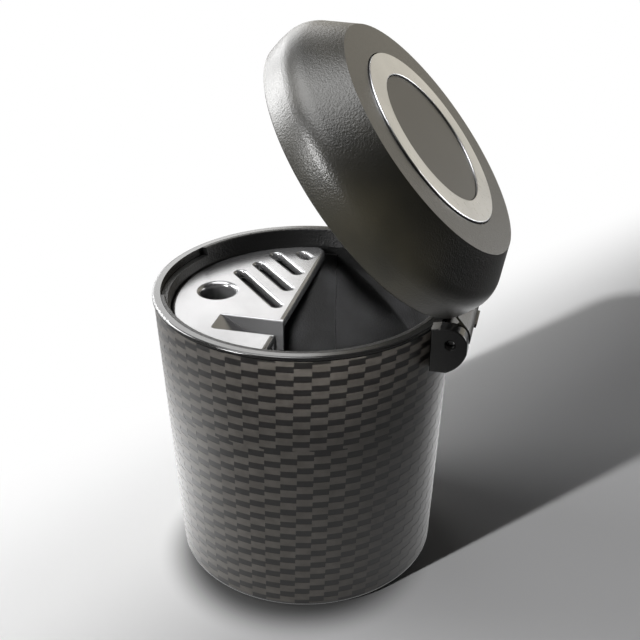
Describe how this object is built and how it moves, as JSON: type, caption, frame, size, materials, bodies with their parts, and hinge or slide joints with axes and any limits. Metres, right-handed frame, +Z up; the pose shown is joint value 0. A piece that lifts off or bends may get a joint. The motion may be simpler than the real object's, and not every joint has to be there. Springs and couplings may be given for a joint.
{
  "type": "car ashtray",
  "caption": "Cup-shaped car ashtray with a round hinged lid, an inner ash bin and a slotted metal insert for stubbing out and resting a cigarette.",
  "frame": {"origin": "middle of the foot ring, on the surface that the cup stands on", "axes": "+Z up along the cup's axis, +X towards the hinge, +Y along the hinge pin; the lid is open at 50.6 degrees as in the picture"},
  "size_m": [0.0822, 0.0714, 0.1301],
  "materials": {
    "outer_cup": "embossed matte",
    "collar": "satin gloss",
    "ash_liner": "fine leather grain",
    "snuffer_plate": "bright satin, pressed",
    "hinge_pin": "drawn wire",
    "lid_shell": "fine leather grain",
    "lid_lining": "fine grain",
    "lid_seal": "soft matte",
    "lid_ring": "satin plated",
    "lid_disc": "smooth matte"
  },
  "bodies": {
    "tray": {"outer_cup": "outer_cup", "collar": "collar", "ash_liner": "ash_liner", "snuffer_plate": "snuffer_plate", "hinge_pin": "hinge_pin"},
    "lid": {"lid_shell": "lid_shell", "lid_lining": "lid_lining", "lid_seal": "lid_seal", "lid_ring": "lid_ring", "lid_disc": "lid_disc"}
  },
  "joints": [
    {"name": "lid_hinge", "type": "hinge", "parent": "tray", "child": "lid", "pos_m": [0.03665, 0, 0.06705], "axis": [0, 1, 0], "range_deg": [-50.6, 39.4]}
  ]
}
